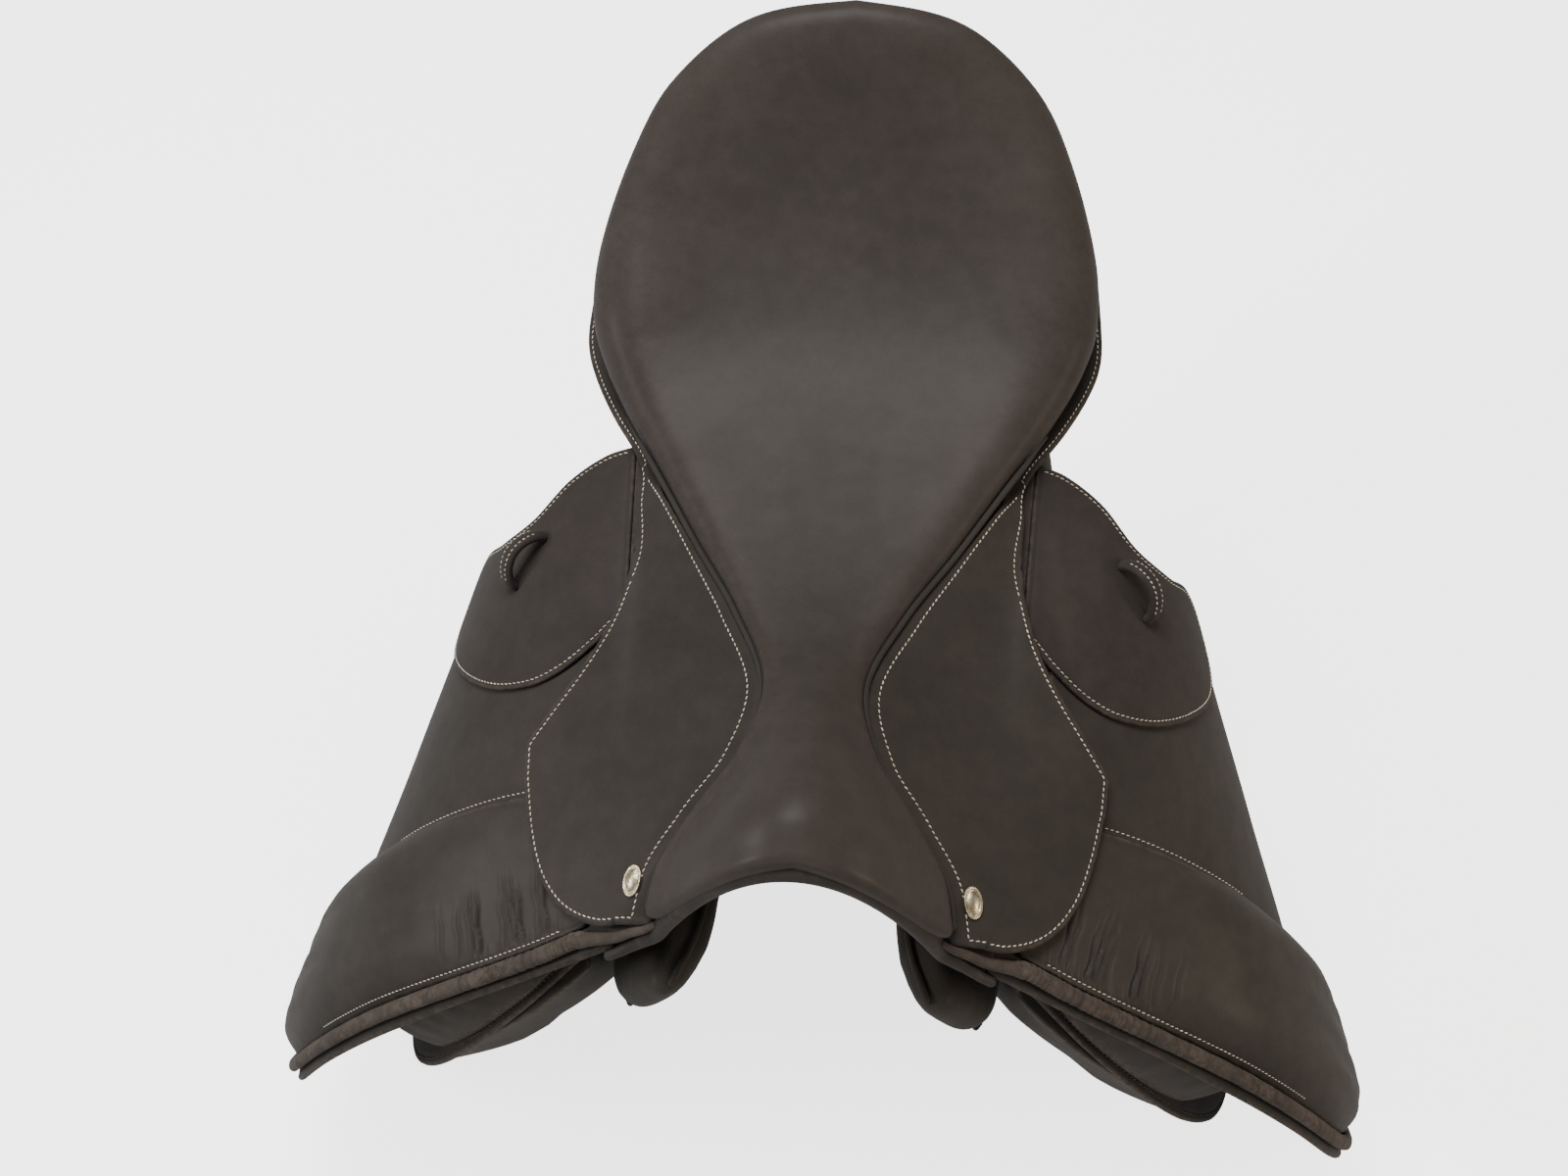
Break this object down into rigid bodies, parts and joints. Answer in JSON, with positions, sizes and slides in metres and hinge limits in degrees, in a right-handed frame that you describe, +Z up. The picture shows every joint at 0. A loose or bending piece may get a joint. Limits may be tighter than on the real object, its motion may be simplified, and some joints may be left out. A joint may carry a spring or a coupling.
{
  "type": "jumping saddle",
  "caption": "Close-contact jumping saddle: deep seat on a tree, skirts, forward flaps with padded knee pockets, stirrup bars, girth straps and panel cushions.",
  "frame": {"origin": "on the centre line, level with the underside of the rear panel cushions, half way along the seat", "axes": "+X to the rider's left, -Y to the front (pommel), +Z up"},
  "size_m": [0.653, 0.5242, 0.4966],
  "materials": {
    "seat_leather": "satin, fine grain",
    "trim_leather": "satin, tight over cord",
    "skirt_leather": "satin, fine grain, pale stitching",
    "flap_leather": "satin, fine grain",
    "patch_leather": "soft satin, grained",
    "knee_pad_leather": "smooth satin, creased",
    "gusset_leather": "matt, worn, wrinkled",
    "panel_leather": "soft matt",
    "strap_leather": "waxed satin",
    "tree_wood": "laminated beech, sealed",
    "steel": "stainless, brushed",
    "badge_metal": "warm silver, worn satin",
    "webbing": "woven webbing",
    "foam": "open foam, matt"
  },
  "bodies": {
    "saddle": {"tree": "tree_wood", "head_plate": "steel", "gullet_plate": "steel", "seat_webbing": "webbing", "seat_foam": "foam", "seat_leather": "seat_leather", "pommel_facing": "trim_leather", "cantle_back": "flap_leather", "gullet_lining": "panel_leather", "spring_left": "steel", "spring_right": "steel", "tree_point_left": "strap_leather", "tree_point_right": "strap_leather", "seat_welt_left": "trim_leather", "seat_welt_right": "trim_leather", "skirt_inner_left": "skirt_leather", "skirt_inner_right": "skirt_leather", "skirt_nail_left": "badge_metal", "skirt_nail_right": "badge_metal", "stirrup_bar_left": "steel", "stirrup_bar_right": "steel", "girth_web_left": "webbing", "girth_web_right": "webbing", "sweat_flap_left": "panel_leather", "sweat_flap_right": "panel_leather", "knee_block_left": "panel_leather", "knee_block_right": "panel_leather", "panel_flap_left": "panel_leather", "panel_flap_right": "panel_leather", "panel_left": "panel_leather", "panel_right": "panel_leather"},
    "left_flap": {"flap_left": "flap_leather", "flap_patch_left": "patch_leather", "keeper_loop_left": "patch_leather", "knee_pad_left": "knee_pad_leather", "flap_gusset_left": "gusset_leather"},
    "left_skirt": {"skirt_left": "skirt_leather"},
    "left_catch": {"bar_catch_left": "steel"},
    "left_front_strap": {"girth_strap_front_left": "strap_leather"},
    "left_rear_strap": {"girth_strap_rear_left": "strap_leather"},
    "right_flap": {"flap_right": "flap_leather", "flap_patch_right": "patch_leather", "keeper_loop_right": "patch_leather", "knee_pad_right": "knee_pad_leather", "flap_gusset_right": "gusset_leather"},
    "right_skirt": {"skirt_right": "skirt_leather"},
    "right_catch": {"bar_catch_right": "steel"},
    "right_front_strap": {"girth_strap_front_right": "strap_leather"},
    "right_rear_strap": {"girth_strap_rear_right": "strap_leather"}
  },
  "joints": [
    {"name": "flap_lift_left", "type": "hinge", "parent": "saddle", "child": "left_flap", "pos_m": [0.09671, -0.13, 0.14636], "axis": [-0.0557, -0.9951, -0.0816], "range_deg": [0, 75]},
    {"name": "skirt_lift_left", "type": "hinge", "parent": "left_flap", "child": "left_skirt", "pos_m": [0.09671, -0.13, 0.14636], "axis": [-0.0557, -0.9951, -0.0816], "range_deg": [0, 45]},
    {"name": "bar_catch_turn_left", "type": "hinge", "parent": "saddle", "child": "left_catch", "pos_m": [0.10615, -0.11001, 0.13583], "axis": [0.9455, 0, -0.3256], "range_deg": [0, 25]},
    {"name": "girth_strap_swing_front_left", "type": "hinge", "parent": "saddle", "child": "left_front_strap", "pos_m": [0.12316, -0.11838, 0.11416], "axis": [0.9703, 0.2201, 0.1], "range_deg": [-5, 1.5]},
    {"name": "girth_strap_swing_rear_left", "type": "hinge", "parent": "saddle", "child": "left_rear_strap", "pos_m": [0.1264, -0.07037, 0.11982], "axis": [0.9703, 0.2201, 0.1], "range_deg": [-1.5, 4]},
    {"name": "flap_lift_right", "type": "hinge", "parent": "saddle", "child": "right_flap", "pos_m": [-0.09671, -0.13, 0.14636], "axis": [-0.0557, 0.9951, 0.0816], "range_deg": [0, 75]},
    {"name": "skirt_lift_right", "type": "hinge", "parent": "right_flap", "child": "right_skirt", "pos_m": [-0.09671, -0.13, 0.14636], "axis": [-0.0557, 0.9951, 0.0816], "range_deg": [0, 45]},
    {"name": "bar_catch_turn_right", "type": "hinge", "parent": "saddle", "child": "right_catch", "pos_m": [-0.10615, -0.11001, 0.13583], "axis": [0.9455, 0, 0.3256], "range_deg": [0, 25]},
    {"name": "girth_strap_swing_front_right", "type": "hinge", "parent": "saddle", "child": "right_front_strap", "pos_m": [-0.12316, -0.11838, 0.11416], "axis": [0.9703, -0.2201, -0.1], "range_deg": [-5, 1.5]},
    {"name": "girth_strap_swing_rear_right", "type": "hinge", "parent": "saddle", "child": "right_rear_strap", "pos_m": [-0.1264, -0.07037, 0.11982], "axis": [0.9703, -0.2201, -0.1], "range_deg": [-1.5, 4]}
  ]
}
